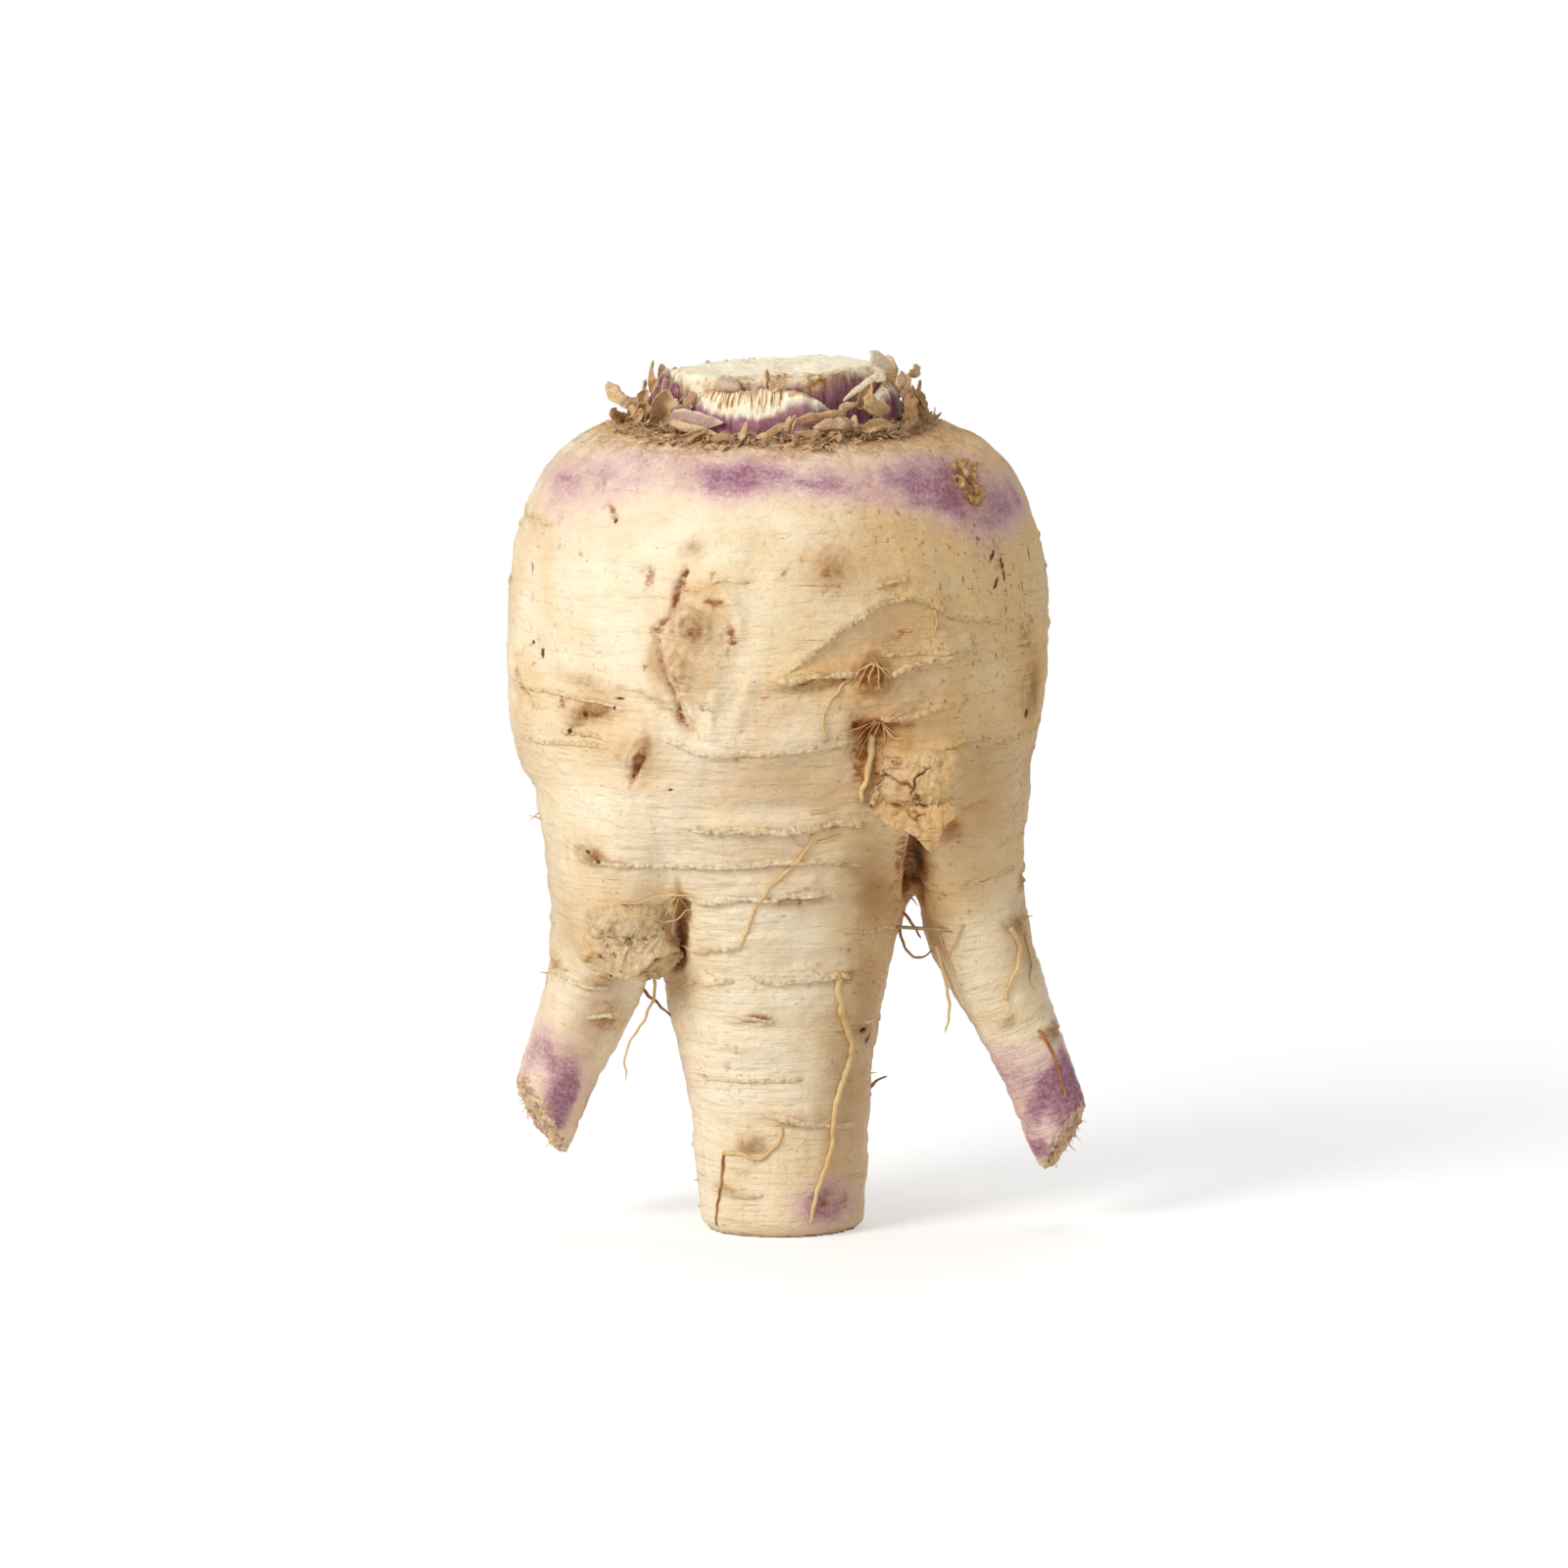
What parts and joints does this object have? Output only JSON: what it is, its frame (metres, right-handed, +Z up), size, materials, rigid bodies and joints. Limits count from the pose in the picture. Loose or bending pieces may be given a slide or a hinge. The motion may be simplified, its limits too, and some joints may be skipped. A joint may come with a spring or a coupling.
{
  "type": "chicory root",
  "caption": "Thick cream chicory root with broad shoulders, a trimmed crown of cut leaf stalks and dry scales, and forked legs, standing on its sawn-off taproot.",
  "frame": {"origin": "middle of the flat sawn end of the taproot, which the root stands on", "axes": "+Z up from the sawn end to the crown, +X to the right leg, -Y towards the front with the torn bark flap"},
  "size_m": [0.1004, 0.0819, 0.1555],
  "materials": {
    "skin": "cream root skin, finely wrinkled across, with tan scars and violet blushes",
    "bark": "tan papery bark, torn and dry",
    "cut_flesh": "pale porous cut flesh with yellow-brown spots",
    "stalk": "purple leaf-stalk skin, satin, with a white torn edge",
    "dry_scale": "dry tan papery leaf scale",
    "rootlet": "dry straw-coloured fibre"
  },
  "bodies": {
    "root": {"root_body": "skin", "torn_bark_flap": "bark", "peeled_bark_patch": "bark", "crown_core": "cut_flesh", "stalk_base_inner_front": "stalk", "stalk_base_inner_right": "stalk", "stalk_base_inner_back": "stalk", "stalk_base_inner_left": "stalk", "stalk_base_outer_front": "stalk", "stalk_base_outer_right": "stalk", "stalk_base_outer_back": "stalk", "stalk_base_outer_left": "stalk", "dry_scale_01": "dry_scale", "dry_scale_02": "dry_scale", "dry_scale_03": "dry_scale", "dry_scale_04": "dry_scale", "dry_scale_05": "dry_scale", "dry_scale_06": "dry_scale", "dry_scale_07": "dry_scale", "dry_scale_08": "dry_scale", "dry_scale_09": "dry_scale", "dry_scale_10": "dry_scale", "dry_scale_11": "dry_scale", "dry_scale_12": "dry_scale", "dry_scale_13": "dry_scale", "dry_scale_14": "dry_scale", "dry_scale_15": "dry_scale", "dry_scale_16": "dry_scale", "dry_scale_17": "dry_scale", "dry_scale_18": "dry_scale", "dry_scale_19": "dry_scale", "dry_scale_20": "dry_scale", "dry_scale_21": "dry_scale", "dry_scale_22": "dry_scale", "dry_scale_23": "dry_scale", "dry_scale_24": "dry_scale", "dry_scale_25": "dry_scale", "dry_scale_26": "dry_scale", "dry_scale_27": "dry_scale", "rootlet_taproot_long": "rootlet", "rootlet_belly": "rootlet", "rootlet_hollow": "rootlet", "rootlet_foot_brown": "rootlet", "rootlet_foot_curved": "rootlet", "rootlet_brow": "rootlet", "rootlet_right_knee": "rootlet", "rootlet_right_shin": "rootlet", "rootlet_right_loop": "rootlet", "rootlet_right_stray": "rootlet", "rootlet_right_hanging": "rootlet", "rootlet_left_hanging": "rootlet", "rootlet_left_strut": "rootlet", "rootlet_taproot_spike": "rootlet", "rootlet_back_long": "rootlet", "rootlet_back_belly": "rootlet", "rootlet_back_foot": "rootlet", "rootlet_back_right_leg": "rootlet", "rootlet_back_left_leg": "rootlet", "rootlet_back_right_side": "rootlet", "rootlet_back_left_side": "rootlet"}
  },
  "joints": []
}
